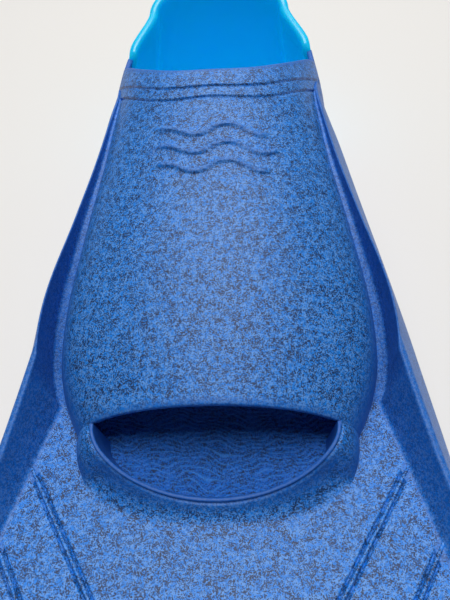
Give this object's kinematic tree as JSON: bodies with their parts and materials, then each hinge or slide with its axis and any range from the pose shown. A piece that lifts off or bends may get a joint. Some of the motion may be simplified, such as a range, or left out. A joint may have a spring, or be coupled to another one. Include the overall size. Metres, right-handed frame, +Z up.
{
  "type": "swim fin",
  "caption": "Short closed-heel training fin: speckled rubber foot pocket with open toe and side rails, soft heel cup, ribbed flexible blade.",
  "frame": {"origin": "on the floor, at the middle of the fin's length and width", "axes": "+Y from the blade's tip towards the heel, +X across, +Z up from the sole"},
  "size_m": [0.2082, 0.4399, 0.0861],
  "materials": {
    "speckled_rubber": "satin, blue with fine dark flecks",
    "footbed_rubber": "satin, blue with fine dark flecks and raised contour lines",
    "sole_rubber": "matt, blue with fine dark flecks",
    "soft_heel_rubber": "smooth, softly glossy bright blue"
  },
  "bodies": {
    "foot": {"outsole": "sole_rubber", "footbed": "footbed_rubber", "heel_seat": "soft_heel_rubber", "toe_wall": "speckled_rubber", "toe_lip": "speckled_rubber", "instep_upper": "speckled_rubber", "ankle_hem": "speckled_rubber", "wave_badge": "speckled_rubber", "left_strake": "speckled_rubber", "right_strake": "speckled_rubber", "blade_root": "speckled_rubber", "blade_root_ribs": "speckled_rubber", "heel_side_left": "soft_heel_rubber", "heel_side_right": "soft_heel_rubber"},
    "heel": {"heel_cup": "soft_heel_rubber"},
    "blade_near": {"blade_base": "speckled_rubber", "left_rail_base": "speckled_rubber", "right_rail_base": "speckled_rubber", "blade_base_ribs": "speckled_rubber"},
    "blade_middle": {"blade_mid": "speckled_rubber", "left_rail_mid": "speckled_rubber", "right_rail_mid": "speckled_rubber", "blade_mid_ribs": "speckled_rubber"},
    "blade_far": {"blade_tip": "speckled_rubber", "left_rail_tip": "speckled_rubber", "right_rail_tip": "speckled_rubber", "blade_tip_ribs": "speckled_rubber"}
  },
  "joints": [
    {"name": "blade_flex_near", "type": "hinge", "parent": "foot", "child": "blade_near", "pos_m": [0, -0.066, 0.007], "axis": [1, 0, 0], "range_deg": [-15, 15], "stiffness_Nm_per_rad": 2.2},
    {"name": "blade_flex_middle", "type": "hinge", "parent": "blade_near", "child": "blade_middle", "pos_m": [0, -0.112, 0.007], "axis": [1, 0, 0], "range_deg": [-15, 15], "stiffness_Nm_per_rad": 1.6},
    {"name": "blade_flex_far", "type": "hinge", "parent": "blade_middle", "child": "blade_far", "pos_m": [0, -0.158, 0.007], "axis": [1, 0, 0], "range_deg": [-15, 15], "stiffness_Nm_per_rad": 1.1},
    {"name": "heel_fold", "type": "hinge", "parent": "foot", "child": "heel", "pos_m": [0, 0.22, 0.005], "axis": [-1, 0, 0], "range_deg": [0, 50], "stiffness_Nm_per_rad": 0.8}
  ]
}
